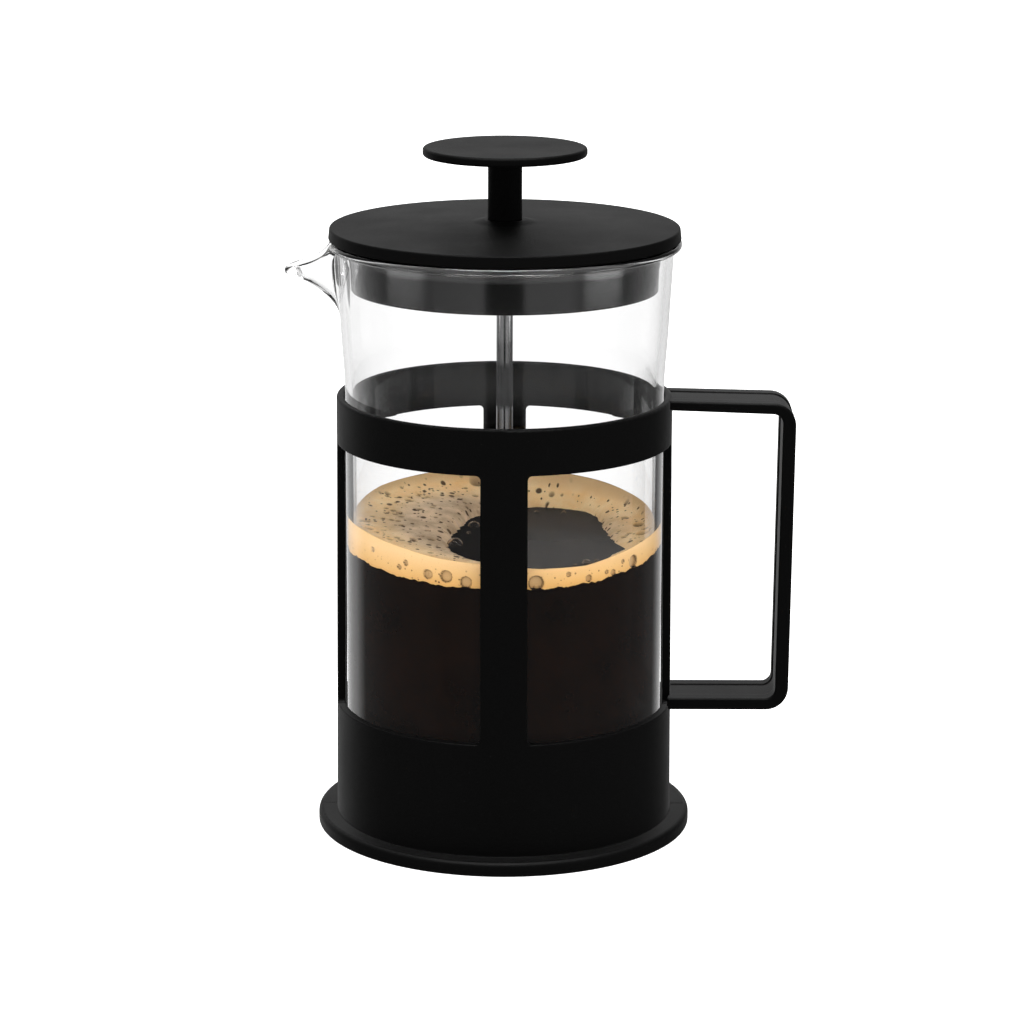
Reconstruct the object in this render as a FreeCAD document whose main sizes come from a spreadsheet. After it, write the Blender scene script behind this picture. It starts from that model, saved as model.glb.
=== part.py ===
"""A one-litre french press: glass beaker in a one-piece plastic holder, lid, and plunger with its filter stack.

The origin is on the beaker's axis, on the surface that the holder stands on. +Z is up, the handle points
along +X and the spout along -X. All sizes are in millimetres.
"""

import FreeCAD
import Part
import Sketcher

import math
import os

SIZES = {
    # Holder: one moulding with a base flange, a cup, four columns and an upper band.
    "flange_radius": 58.0,
    "flange_height": 4.3,
    "flange_round": 1.5,
    "foot_round": 0.5,
    "foot_inner": 48.0,
    "boss_radius": 14.0,
    "recess_depth": 2.2,
    "rib_setback": 0.6,
    "rib_width": 1.6,
    "floor_top": 5.0,
    "holder_radius": 51.4,
    "holder_wall": 2.3,
    "holder_draft": 0.8,
    "cup_top": 39.3,
    "band_bottom": 122.0,
    "band_top": 136.0,
    "band_round": 0.7,
    "column_width": 14.0,
    "window_corner": 1.4,
    "seat_inner": 35.0,
    "seat_outer": 39.0,
    "seat_top": 8.0,
    "parting_width": 0.35,
    "parting_rise": 0.12,
    # Handle: a strap bent round three sides, with thicker rims along both edges.
    "strap_width": 21.0,
    "strap_rim": 5.0,
    "strap_groove": 0.45,
    "strap_edge": 0.7,
    "arm_root": 48.0,
    "arm_top": 135.9,
    "arm_thick": 2.9,
    "arm_droop": 0.9,
    "arm_swell": 0.4,
    "arm_bottom": 38.1,
    "foot_arm_thick": 3.7,
    "grip_outer": 88.9,
    "grip_lean": 0.9,
    "grip_thick": 4.1,
    "grip_corner": 7.0,
    "grip_inner_corner": 3.0,
    "root_sink": 0.3,
    "web_lap": 0.1,
    # Beaker.
    "beaker_radius": 48.7,
    "glass_wall": 2.0,
    "beaker_heel": 8.7,
    "beaker_floor": 2.6,
    "punt_radius": 31.0,
    "punt_rise": 2.2,
    "punt_flat": 8.0,
    "flare_start": 136.0,
    "flare_low": 144.0,
    "flare_low_out": 0.35,
    "flare_mid": 154.0,
    "flare_mid_out": 1.1,
    "flare_high": 166.0,
    "flare_high_out": 1.8,
    "neck_top": 181.0,
    "neck_out": 2.7,
    "mouth_flare": 1.2,
    "bead_out": 5.1,
    "bead_height": 1.8,
    "bead_chamfer": 0.5,
    "rim_top": 184.0,
    # Spout: half of a cone with an elliptic section, open at the top.
    "spout_root": 46.0,
    "spout_root_width": 13.0,
    "spout_root_depth": 21.0,
    "spout_tip": 67.3,
    "spout_tip_drop": 8.6,
    "spout_tip_width": 2.2,
    "spout_tip_depth": 2.6,
    "spout_wall": 1.6,
    "spout_tip_wall": 1.2,
    # Lid: a cap over a collar, both round the guide bushing.
    "lid_gap": 0.1,
    "lid_radius": 53.6,
    "lid_edge_radius": 53.2,
    "lid_edge_top": 187.7,
    "lid_edge_round": 0.5,
    "lid_shell": 1.9,
    "lid_recess_radius": 48.2,
    "lid_boss_radius": 6.6,
    "lid_boss_slope": 9.6,
    "lid_boss_foot": 189.3,
    "lid_boss_round": 0.4,
    "lid_blend": 6.0,
    "lid_boss_top": 189.95,
    "lid_rib_inner": 40.0,
    "lid_rib_outer": 42.0,
    "lid_rib_rise": 0.3,
    "collar_radius": 46.8,
    "collar_flare": 0.4,
    "collar_wall": 1.7,
    "collar_bottom": 169.3,
    "collar_web": 1.6,
    "collar_web_top": 185.8,
    "collar_round": 0.5,
    "slot_width": 2.2,
    "slot_pitch": 6.5,
    "slot_reach": 3.0,
    "slot_bottom": 172.0,
    "slot_top": 182.6,
    "bushing_radius": 4.6,
    "bushing_flange": 7.0,
    "bushing_flange_height": 1.5,
    "bushing_top": 189.85,
    "turning_clearance": 0.08,
    # Plunger.
    "rod_radius": 2.5,
    "rod_bottom": 15.0,
    "rod_top": 205.0,
    "rod_chamfer": 0.5,
    "running_clearance": 0.05,
    "knob_radius": 24.9,
    "knob_top": 212.0,
    "knob_disc": 2.7,
    "knob_dish": 0.3,
    "knob_edge": 0.9,
    "knob_neck": 1.6,
    "stem_radius": 5.2,
    "stem_bottom": 190.0,
    "stem_bore": 3.6,
    "stem_bore_top": 206.5,
    "insert_radius": 3.55,
    "insert_bottom": 192.0,
    "insert_top": 205.5,
    "insert_chamfer": 0.3,
    # Filter stack, from the bottom up.
    "nut_bottom": 16.5,
    "nut_radius": 5.0,
    "nut_flange": 7.5,
    "nut_flange_height": 0.9,
    "nut_spigot": 4.2,
    "nut_chamfer": 0.6,
    "plate_bottom": 22.6,
    "plate_thick": 0.8,
    "cross_plate_radius": 44.0,
    "cross_hole": 2.6,
    "spigot_rise": 0.2,
    "screen_bottom": 24.0,
    "screen_thick": 0.3,
    "screen_radius": 46.4,
    "screen_top": 28.5,
    "screen_hole": 4.0,
    "eyelet_bore": 3.0,
    "eyelet_flange": 6.5,
    "eyelet_sheet": 0.28,
    "eyelet_gap": 0.1,
    "spiral_bottom": 24.8,
    "spiral_plate_radius": 41.4,
    "spiral_hole": 1.9,
    "spring_ring": 43.8,
    "spring_coil": 2.2,
    "spring_height": 26.75,
    "stop_bottom": 25.8,
    "stop_height": 2.0,
    "stop_radius": 5.0,
    # How far a cutting or joining shape runs past the face it meets.
    "overrun": 1.0,
}

NODES = (
    "holder_frame", "handle", "beaker",
    "lid_cap", "lid_collar", "lid_bushing",
    "knob", "knob_insert", "plunger_rod", "rod_stop_collar",
    "spiral_plate", "rim_spring", "mesh_screen", "mesh_eyelet", "cross_plate", "cross_plate_nut",
)

WINDOW_COUNT = 4
RIB_COUNT = 8
SLOT_COUNT = 5
SPIRAL_RINGS = ((12.0, 8), (20.0, 14), (28.0, 20), (36.0, 26))
CROSS_RINGS = ((14.0, 8), (24.0, 14), (35.0, 22))
# Two places nearer than this are the same.
CLOSE = 0.01
# How far the spout's inner cone runs past the wall and past the tip.
INWARD = 5.0
OUTWARD = 0.8

UP = FreeCAD.Vector(0, 0, 1)
ALONG_X = FreeCAD.Vector(1, 0, 0)
ALONG_Y = FreeCAD.Vector(0, 1, 0)
ORIGIN = FreeCAD.Vector(0, 0, 0)

doc = FreeCAD.newDocument("FrenchPress")
sheet = doc.addObject("Spreadsheet::Sheet", "Dims")


def fill_sheet():
    """One named row for each driving dimension."""
    for row, (name, size) in enumerate(SIZES.items(), start=1):
        sheet.set(f"A{row}", name)
        sheet.set(f"B{row}", str(size))
        sheet.setAlias(f"B{row}", name)
    doc.recompute()


def bound(expression):
    """The expression with each dimension's name pointing at its cell."""
    words = []
    word = ""
    for letter in expression + " ":
        if letter.isalnum() or letter == "_":
            word += letter
            continue
        words.append(f"Dims.{word}" if word in SIZES else word)
        words.append(letter)
        word = ""
    return "".join(words).strip()


def value_of(expression):
    """The number that an expression of dimension names has now."""
    return float(doc.Dims.evalExpression(bound(expression)))


def bind(item, **expressions):
    """Ties an object's properties to expressions of dimension names."""
    for name, expression in expressions.items():
        item.setExpression(name, bound(expression))


def place(item, x="0", y="0", z="0", turn=0.0, axis=UP):
    """Turns an object about an axis through its own origin and binds where that origin is."""
    item.Placement = FreeCAD.Placement(ORIGIN, FreeCAD.Rotation(axis, turn))
    for letter, expression in (("x", x), ("y", y), ("z", z)):
        item.setExpression(f"Placement.Base.{letter}", bound(expression))


def origin_plane(body, role):
    """The body's own origin plane or axis with that role."""
    return next(item for item in body.Origin.OriginFeatures if item.Role == role)


def new_sketch(body, name, role):
    """An empty sketch on one of the body's origin planes."""
    sketch = body.newObject("Sketcher::SketchObject", name)
    sketch.AttachmentSupport = [(origin_plane(body, role), "")]
    sketch.MapMode = "FlatFace"
    return sketch


def dimension(sketch, kind, line, point, expression):
    """Fixes one coordinate of a sketch point, tied to an expression."""
    number = sketch.addConstraint(
        Sketcher.Constraint(kind, -1, 1, line, point, value_of(expression)))
    sketch.setExpression(f"Constraints[{number}]", bound(expression))


def draw_outline(sketch, corners):
    """A closed outline of straight lines through corners given as (across, up) expressions."""
    points = [FreeCAD.Vector(value_of(across), value_of(up), 0) for across, up in corners]
    count = len(points)
    for index in range(count):
        sketch.addGeometry(Part.LineSegment(points[index], points[(index + 1) % count]), False)
    for index in range(count):
        following = (index + 1) % count
        sketch.addConstraint(Sketcher.Constraint("Coincident", index, 2, following, 1))
    for index, (across, up) in enumerate(corners):
        dimension(sketch, "DistanceX", index, 1, across)
        dimension(sketch, "DistanceY", index, 1, up)


def lathe(name, corners):
    """A body turned about the Z axis from an outline of (radius, height) expressions."""
    body = doc.addObject("PartDesign::Body", name)
    sketch = new_sketch(body, f"{name}_profile", "XZ_Plane")
    draw_outline(sketch, corners)
    turned = body.newObject("PartDesign::Revolution", f"{name}_turned")
    turned.Profile = sketch
    turned.ReferenceAxis = (sketch, ["V_Axis"])
    turned.Angle = 360
    sketch.Visibility = False
    doc.recompute()
    return body


def ring_edges(shape, rings):
    """Names of the circular edges about the Z axis at the given (radius, height) expressions."""
    names = []
    for radius, height in rings:
        wanted_radius, wanted_height = value_of(radius), value_of(height)
        for number, edge in enumerate(shape.Edges, start=1):
            curve = edge.Curve
            if not isinstance(curve, Part.Circle):
                continue
            same_radius = abs(curve.Radius - wanted_radius) < CLOSE
            same_height = abs(curve.Center.z - wanted_height) < CLOSE
            if same_radius and same_height:
                names.append(f"Edge{number}")
    if len(names) < len(rings):
        raise RuntimeError(f"an edge to round is missing: {rings}")
    return names


def dress(body, kind, edges, size):
    """Adds a fillet or a chamfer of a bound size to the body's tip."""
    base = body.Tip
    feature = body.newObject(f"PartDesign::{kind}", f"{body.Name}_{kind.lower()}")
    feature.Base = (base, edges)
    bind(feature, **{"Radius" if kind == "Fillet" else "Size": size})
    doc.recompute()


def round_rings(body, size, *rings):
    """Rounds circular edges of a turned body."""
    dress(body, "Fillet", ring_edges(body.Tip.Shape, rings), size)


def chamfer_rings(body, size, *rings):
    """Chamfers circular edges of a turned body."""
    dress(body, "Chamfer", ring_edges(body.Tip.Shape, rings), size)


def box(name, length, width, height):
    """A Part box with bound sides."""
    item = doc.addObject("Part::Box", name)
    bind(item, Length=length, Width=width, Height=height)
    return item


def fuse(name, items):
    """One solid from several overlapping ones."""
    item = doc.addObject("Part::MultiFuse", name)
    item.Shapes = items
    item.Refine = True
    return item


def cut(name, base, tool):
    """The base with the tool taken out of it."""
    item = doc.addObject("Part::Cut", name)
    item.Base = base
    item.Tool = tool
    item.Refine = True
    return item


def ring_of(name, count, make_one):
    """Copies made by make_one(copy name, angle), spread evenly round the axis and fused."""
    copies = [make_one(f"{name}_{number}", 360.0 * number / count) for number in range(count)]
    return fuse(name, copies)


def centred_bar(name, turn, start, end, width, low, high):
    """A radial bar centred on a line from the axis, turned about the axis."""
    bar = box(name, f"({end}) - ({start})", width, f"({high}) - ({low})")
    angle = FreeCAD.Rotation(UP, turn)
    bar.Placement = FreeCAD.Placement(ORIGIN, angle)
    radial = angle.multVec(ALONG_X)
    side = angle.multVec(ALONG_Y)
    for letter in "xyz":
        along = getattr(radial, letter)
        across = getattr(side, letter)
        base = f"({start}) * {along:.9f} - ({width}) / 2 * {across:.9f}"
        if letter == "z":
            base = low
        bar.setExpression(f"Placement.Base.{letter}", bound(base))
    return bar


def make_window(name, turn):
    """A quarter block with rounded upper and lower edges, which leaves the columns parallel-sided."""
    reach = "flange_radius"
    block = box(f"{name}_block", reach, reach, "band_bottom - cup_top")
    doc.recompute()
    rounded = []
    for number, edge in enumerate(block.Shape.Edges, start=1):
        middle = edge.CenterOfMass
        level = abs(edge.Vertexes[0].Z - edge.Vertexes[1].Z) < CLOSE
        if level and (middle.x < CLOSE or middle.y < CLOSE):
            radius = value_of("window_corner")
            rounded.append((number, radius, radius))
    window = doc.addObject("Part::Fillet", name)
    window.Base = block
    window.Edges = rounded
    corner = FreeCAD.Rotation(UP, turn).multVec(FreeCAD.Vector(1, 1, 0))
    half = "column_width / 2"
    place(window, f"{half} * {round(corner.x)}", f"{half} * {round(corner.y)}", "cup_top", turn)
    return window


def make_holder_frame():
    """Base flange, cup, columns and band in one moulding, with a ribbed underside."""
    inner = "holder_radius - holder_wall"
    blank = lathe("holder_blank", [
        ("0", "0"), ("boss_radius", "0"),
        ("boss_radius", "recess_depth"), ("foot_inner", "recess_depth"),
        ("foot_inner", "0"), ("flange_radius", "0"),
        ("flange_radius", "flange_height"), ("holder_radius + holder_draft", "flange_height"),
        ("holder_radius", "band_top"), (inner, "band_top"),
        (f"{inner} + holder_draft", "floor_top"), ("seat_outer", "floor_top"),
        ("seat_outer", "seat_top"), ("seat_inner", "seat_top"),
        ("seat_inner", "floor_top"), ("0", "floor_top"),
    ])
    round_rings(blank, "flange_round", ("flange_radius", "flange_height"))
    round_rings(blank, "foot_round", ("flange_radius", "0"))
    round_rings(blank, "band_round", ("holder_radius", "band_top"), (inner, "band_top"))

    def make_rib(name, turn):
        return centred_bar(name, turn, "boss_radius - overrun", "foot_inner + overrun", "rib_width",
                           "rib_setback", "recess_depth + overrun")

    def make_parting_line(name, turn):
        return centred_bar(name, turn, "holder_radius - overrun", "flange_radius - flange_round",
                           "parting_width", "flange_height - overrun", "flange_height + parting_rise")

    ribs = ring_of("holder_ribs", RIB_COUNT, make_rib)
    partings = ring_of("holder_partings", 2, make_parting_line)
    whole = fuse("holder_whole", [blank, ribs, partings])
    windows = doc.addObject("Part::Compound", "holder_windows")
    windows.Links = [make_window(f"window_{number}", 90.0 * number) for number in range(WINDOW_COUNT)]
    return cut("holder_frame", whole, windows)


def strap_corners(inset):
    """The strap's side outline, as (x, z) expressions, with both faces set in by inset."""
    top = f"arm_top - {inset}"
    bottom = f"arm_bottom + {inset}"
    return [
        ("arm_root", top),
        (f"grip_outer - {inset}", f"{top} - arm_droop"),
        (f"grip_outer - grip_lean - {inset}", bottom),
        ("arm_root", bottom),
        ("arm_root", f"arm_bottom + foot_arm_thick - {inset}"),
        (f"grip_outer - grip_lean - grip_thick + {inset}", f"arm_bottom + foot_arm_thick - {inset}"),
        (f"grip_outer - grip_thick + {inset}", f"arm_top - arm_droop - arm_thick - arm_swell + {inset}"),
        ("arm_root", f"arm_top - arm_thick + {inset}"),
    ]


def corner_edges(shape, corners):
    """Names of the straight edges along Y that pass through the given (x, z) corners."""
    names = []
    for across, up in corners:
        for number, edge in enumerate(shape.Edges, start=1):
            start, end = edge.Vertexes[0].Point, edge.Vertexes[-1].Point
            along_y = abs(start.x - end.x) < CLOSE and abs(start.z - end.z) < CLOSE
            if along_y and abs(start.x - value_of(across)) < CLOSE and abs(start.z - value_of(up)) < CLOSE:
                names.append(f"Edge{number}")
    return names


def strap(name, inset, width):
    """The strap as a slab of one width, with its corners rounded."""
    body = doc.addObject("PartDesign::Body", name)
    sketch = new_sketch(body, f"{name}_profile", "XZ_Plane")
    corners = strap_corners(inset)
    draw_outline(sketch, corners)
    pad = body.newObject("PartDesign::Pad", f"{name}_pad")
    pad.Profile = sketch
    pad.Midplane = True
    bind(pad, Length=width)
    doc.recompute()
    outer = corner_edges(body.Tip.Shape, corners[1:3])
    dress(body, "Fillet", outer, f"grip_corner - {inset}")
    inner = corner_edges(body.Tip.Shape, corners[5:7])
    dress(body, "Fillet", inner, f"grip_inner_corner + {inset}")
    return body


def side_edges(shape, half_width):
    """Names of the edges that lie in either side face of a strap, apart from those at its roots."""
    root = value_of("arm_root")
    names = []
    for number, edge in enumerate(shape.Edges, start=1):
        in_side = all(abs(abs(point.Y) - half_width) < CLOSE for point in edge.Vertexes)
        along_side = abs(edge.Vertexes[0].Y - edge.Vertexes[-1].Y) < CLOSE
        at_root = all(abs(point.X - root) < CLOSE for point in edge.Vertexes)
        if in_side and along_side and not at_root:
            names.append(f"Edge{number}")
    return names


def make_handle():
    """A thin web between two thicker rims, ending just inside the holder's wall."""
    rims = strap("handle_rims", "0", "strap_width")
    dress(rims, "Fillet", side_edges(rims.Tip.Shape, value_of("strap_width / 2")), "strap_edge")
    web_width = "strap_width - 2 * strap_rim"
    gap = box("handle_gap", "grip_outer", web_width, "band_top")
    place(gap, "arm_root - overrun", f"-({web_width}) / 2", "0")
    sides = cut("handle_sides", rims, gap)
    web = strap("handle_web", "strap_groove", f"{web_width} + 2 * web_lap")
    whole = fuse("handle_whole", [sides, web])
    seat = doc.addObject("Part::Cone", "handle_seat")
    bind(seat, Radius1="holder_radius + holder_draft - root_sink", Radius2="holder_radius - root_sink",
         Height="band_top")
    return cut("handle", whole, seat)


def beaker_wall(inset):
    """The wall's (radius, height) corners from the start of the flare to the neck, set in by inset."""
    return [
        (f"beaker_radius - {inset}", "flare_start"),
        (f"beaker_radius + flare_low_out - {inset}", "flare_low"),
        (f"beaker_radius + flare_mid_out - {inset}", "flare_mid"),
        (f"beaker_radius + flare_high_out - {inset}", "flare_high"),
        (f"beaker_radius + neck_out - {inset}", "neck_top"),
    ]


def spout_section(name, distance, drop, width, depth):
    """An upright ellipse across the spout, deeper than it is wide."""
    section = doc.addObject("Part::Ellipse", name)
    bind(section, MajorRadius=depth, MinorRadius=width)
    # The major axis turns to Z and the minor axis to Y.
    turn = FreeCAD.Rotation(UP, ALONG_Y, ALONG_X, "ZXY")
    section.Placement = FreeCAD.Placement(ORIGIN, turn)
    section.setExpression("Placement.Base.x", bound(f"-({distance})"))
    section.setExpression("Placement.Base.z", bound(f"rim_top - ({drop})"))
    return section


def spout_cone(name, sections):
    """A straight-sided solid through elliptic sections."""
    cone = doc.addObject("Part::Loft", name)
    cone.Sections = sections
    cone.Solid = True
    cone.Ruled = True
    return cone


def make_beaker():
    """A turned beaker with a flared, beaded rim, and a spout pulled out of it."""
    bead = "beaker_radius + bead_out"
    outside = lathe("beaker_outside", [
        ("0", "seat_top + punt_rise"), ("punt_flat", "seat_top + punt_rise"), ("punt_radius", "seat_top"),
        ("beaker_radius", "seat_top"), *beaker_wall("0"),
        (f"{bead} - bead_chamfer", "rim_top - bead_height"),
        (bead, "rim_top - bead_height + bead_chamfer"), (bead, "rim_top - bead_chamfer"),
        (f"{bead} - bead_chamfer", "rim_top"), ("0", "rim_top"),
    ])
    round_rings(outside, "beaker_heel", ("beaker_radius", "seat_top"))

    floor = "seat_top + beaker_floor"
    inner = "beaker_radius - glass_wall"
    inside = lathe("beaker_inside", [
        ("0", f"{floor} + punt_rise"), ("punt_flat", f"{floor} + punt_rise"), ("punt_radius", floor),
        (inner, floor), *beaker_wall("glass_wall"),
        (f"{inner} + neck_out + mouth_flare", "rim_top + overrun"), ("0", "rim_top + overrun"),
    ])
    round_rings(inside, "beaker_heel - glass_wall", (inner, floor))

    reach = "(spout_tip - spout_root)"
    slope = f"spout_tip_drop / {reach}"
    inner_width = "(spout_root_width - spout_wall)"
    inner_depth = "(spout_root_depth - spout_wall)"
    tip_width = "(spout_tip_width - spout_tip_wall)"
    tip_depth = "(spout_tip_depth - spout_tip_wall)"
    narrowing = f"({inner_width} - {tip_width}) / {reach}"
    shallowing = f"({inner_depth} - {tip_depth}) / {reach}"
    outer_cone = spout_cone("spout_outside", [
        spout_section("spout_outer_root", "spout_root", "0", "spout_root_width", "spout_root_depth"),
        spout_section("spout_outer_tip", "spout_tip", "spout_tip_drop", "spout_tip_width",
                      "spout_tip_depth"),
    ])
    inner_cone = spout_cone("spout_inside", [
        spout_section("spout_inner_root", f"spout_root - {INWARD}", f"-{INWARD} * {slope}",
                      f"{inner_width} + {INWARD} * {narrowing}",
                      f"{inner_depth} + {INWARD} * {shallowing}"),
        spout_section("spout_inner_tip", f"spout_tip + {OUTWARD}", f"spout_tip_drop + {OUTWARD} * {slope}",
                      f"{tip_width} - {OUTWARD} * {narrowing}",
                      f"{tip_depth} - {OUTWARD} * {shallowing}"),
    ])
    # The trough is open above a plane that falls from the rim to the tip.
    above = box("spout_above", "spout_tip", "2 * spout_root_depth", "2 * spout_root_depth")
    fall = math.degrees(math.atan(value_of(slope)))
    place(above, f"-spout_tip - {INWARD}", "-spout_root_depth",
          f"rim_top - spout_tip_drop - {INWARD} * {slope}", -fall, ALONG_Y)
    trough = cut("spout_trough", outer_cone, above)
    solid = fuse("beaker_solid", [outside, trough])
    hollow = fuse("beaker_hollow", [inside, inner_cone])
    return cut("beaker", solid, hollow)


def make_lid_cap():
    """A shallow shell with a raised centre. Its rim rests on the beaker's bead."""
    hole = "bushing_radius + turning_clearance"
    underside = "rim_top + lid_gap"
    roof = "lid_edge_top - lid_shell"
    cap = lathe("lid_cap", [
        (hole, "lid_boss_top"), ("lid_boss_radius", "lid_boss_top"),
        ("lid_boss_slope", "lid_boss_foot"), ("lid_edge_radius", "lid_edge_top"),
        ("lid_radius", underside), ("lid_recess_radius", underside),
        ("lid_recess_radius", roof), ("lid_rib_outer", f"{roof} + lid_rib_rise"),
        ("lid_rib_outer", "collar_web_top"), ("lid_rib_inner", "collar_web_top"),
        ("lid_rib_inner", f"{roof} + lid_rib_rise"), (hole, "lid_boss_foot - lid_shell"),
    ])
    round_rings(cap, "lid_edge_round", ("lid_edge_radius", "lid_edge_top"), ("lid_radius", underside))
    round_rings(cap, "lid_boss_round", ("lid_boss_radius", "lid_boss_top"))
    round_rings(cap, "lid_blend", ("lid_boss_slope", "lid_boss_foot"))
    return cap


def make_lid_collar():
    """A deep ring under a flat web, with strainer slots that face the spout."""
    hole = "bushing_radius + turning_clearance"
    top_radius = "collar_radius + collar_flare"
    blank = lathe("collar_blank", [
        (hole, "collar_web_top - collar_web"), (hole, "collar_web_top"),
        (top_radius, "collar_web_top"), ("collar_radius", "collar_bottom"),
        ("collar_radius - collar_wall", "collar_bottom"),
        (f"{top_radius} - collar_wall", "collar_web_top - collar_web"),
    ])
    round_rings(blank, "collar_round", ("collar_radius", "collar_bottom"))
    slots = []
    for number in range(SLOT_COUNT):
        turn = 180.0 + value_of("slot_pitch") * (number - (SLOT_COUNT - 1) / 2)
        slots.append(centred_bar(f"slot_{number}", turn, "collar_radius - slot_reach",
                                 "collar_radius + slot_reach", "slot_width", "slot_bottom", "slot_top"))
    return cut("lid_collar", blank, fuse("collar_slots", slots))


def make_lid_bushing():
    """A flanged sleeve that guides the rod through the lid."""
    bore = "rod_radius + running_clearance"
    flange_top = "collar_web_top - collar_web - lid_gap"
    return lathe("lid_bushing", [
        (bore, f"{flange_top} - bushing_flange_height"),
        ("bushing_flange", f"{flange_top} - bushing_flange_height"),
        ("bushing_flange", flange_top), ("bushing_radius", flange_top),
        ("bushing_radius", "bushing_top"), (bore, "bushing_top"),
    ])


def make_knob():
    """A flat round press knob on a stem, with a blind bore for its insert."""
    under = "knob_top - knob_disc"
    knob = lathe("knob", [
        ("stem_bore", "stem_bottom"), ("stem_radius", "stem_bottom"),
        ("stem_radius", under), ("knob_radius", under), ("knob_radius", "knob_top"),
        ("0", "knob_top - knob_dish"), ("0", "stem_bore_top"), ("stem_bore", "stem_bore_top"),
    ])
    round_rings(knob, "knob_edge", ("knob_radius", "knob_top"), ("knob_radius", under))
    round_rings(knob, "knob_neck", ("stem_radius", under))
    return knob


def make_knob_insert():
    """The threaded brass sleeve in the knob's stem."""
    bore = "rod_radius + running_clearance"
    insert = lathe("knob_insert", [
        (bore, "insert_bottom"), ("insert_radius", "insert_bottom"),
        ("insert_radius", "insert_top"), (bore, "insert_top"),
    ])
    chamfer_rings(insert, "insert_chamfer", ("insert_radius", "insert_bottom"))
    return insert


def make_plunger_rod():
    """The polished rod, chamfered at both ends."""
    rod = lathe("plunger_rod", [
        ("0", "rod_bottom"), ("rod_radius", "rod_bottom"),
        ("rod_radius", "rod_top"), ("0", "rod_top"),
    ])
    chamfer_rings(rod, "rod_chamfer", ("rod_radius", "rod_bottom"), ("rod_radius", "rod_top"))
    return rod


def make_rod_stop_collar():
    """The collar swaged on the rod above the filter stack."""
    top = "stop_bottom + stop_height"
    collar = lathe("rod_stop_collar", [
        ("rod_radius", "stop_bottom"), ("stop_radius", "stop_bottom"),
        ("stop_radius", top), ("rod_radius", top),
    ])
    round_rings(collar, "rod_chamfer", ("stop_radius", "stop_bottom"), ("stop_radius", top))
    return collar


def drill_rings(body, rings, hole_radius, depth):
    """Rings of round holes through a plate's full thickness, each ring a pocket and its pattern."""
    for ring_radius, count in rings:
        label = f"{body.Name}_ring_{round(ring_radius)}"
        sketch = new_sketch(body, label, "XY_Plane")
        centre = FreeCAD.Vector(ring_radius, 0, 0)
        sketch.addGeometry(Part.Circle(centre, UP, value_of(hole_radius)), False)
        number = sketch.addConstraint(Sketcher.Constraint("Radius", 0, value_of(hole_radius)))
        sketch.setExpression(f"Constraints[{number}]", bound(hole_radius))
        sketch.addConstraint(Sketcher.Constraint("DistanceX", -1, 1, 0, 3, ring_radius))
        sketch.addConstraint(Sketcher.Constraint("PointOnObject", 0, 3, -1))
        pocket = body.newObject("PartDesign::Pocket", f"{label}_hole")
        pocket.Profile = sketch
        pocket.Reversed = True
        bind(pocket, Length=depth)
        pattern = body.newObject("PartDesign::PolarPattern", f"{label}_pattern")
        pattern.Originals = [pocket]
        pattern.Axis = (origin_plane(body, "Z_Axis"), [""])
        pattern.Angle = 360
        pattern.Occurrences = count
        body.Tip = pattern
        sketch.Visibility = False
        doc.recompute()


def make_spiral_plate():
    """The perforated upper plate that carries the rim spring."""
    bore = "rod_radius + running_clearance"
    top = "spiral_bottom + plate_thick"
    plate = lathe("spiral_plate", [
        (bore, "spiral_bottom"), ("spiral_plate_radius", "spiral_bottom"),
        ("spiral_plate_radius", top), (bore, top),
    ])
    drill_rings(plate, SPIRAL_RINGS, "spiral_hole", f"{top} + overrun")
    return plate


def make_cross_plate():
    """The perforated lower plate, riveted on its threaded hub."""
    bore = "nut_spigot + running_clearance"
    top = "plate_bottom + plate_thick"
    plate = lathe("cross_plate", [
        (bore, "plate_bottom"), ("cross_plate_radius", "plate_bottom"),
        ("cross_plate_radius", top), (bore, top),
    ])
    drill_rings(plate, CROSS_RINGS, "cross_hole", f"{top} + overrun")
    return plate


def make_cross_plate_nut():
    """The threaded hub under the lower plate, with a spigot riveted through it."""
    bore = "rod_radius + running_clearance"
    rivet_top = "plate_bottom + plate_thick + spigot_rise"
    nut = lathe("cross_plate_nut", [
        (bore, "nut_bottom"), ("nut_radius", "nut_bottom"),
        ("nut_radius", "plate_bottom - nut_flange_height"),
        ("nut_flange", "plate_bottom - nut_flange_height"), ("nut_flange", "plate_bottom"),
        ("nut_spigot", "plate_bottom"), ("nut_spigot", rivet_top), (bore, rivet_top),
    ])
    chamfer_rings(nut, "nut_chamfer", ("nut_radius", "nut_bottom"))
    return nut


def make_mesh_screen():
    """The woven screen as one thin dish with an upturned rim."""
    screen_top = "screen_bottom + screen_thick"
    return lathe("mesh_screen", [
        ("screen_hole", "screen_bottom"), ("screen_radius", "screen_bottom"),
        ("screen_radius", "screen_top"), ("screen_radius - screen_thick", "screen_top"),
        ("screen_radius - screen_thick", screen_top), ("screen_hole", screen_top),
    ])


def make_mesh_eyelet():
    """The eyelet crimped over both faces of the screen's centre hole."""
    tube = "screen_hole - eyelet_gap"
    above = "screen_bottom + screen_thick"
    return lathe("mesh_eyelet", [
        ("eyelet_bore", "screen_bottom - eyelet_sheet"), ("eyelet_flange", "screen_bottom - eyelet_sheet"),
        ("eyelet_flange", "screen_bottom"), (tube, "screen_bottom"), (tube, above),
        ("eyelet_flange", above), ("eyelet_flange", f"{above} + eyelet_sheet"),
        ("eyelet_bore", f"{above} + eyelet_sheet"),
    ])


def make_rim_spring():
    """The ring that the rim spring's coils fill."""
    ring = doc.addObject("Part::Torus", "rim_spring")
    bind(ring, Radius1="spring_ring", Radius2="spring_coil")
    place(ring, z="spring_height")
    return ring


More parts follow.
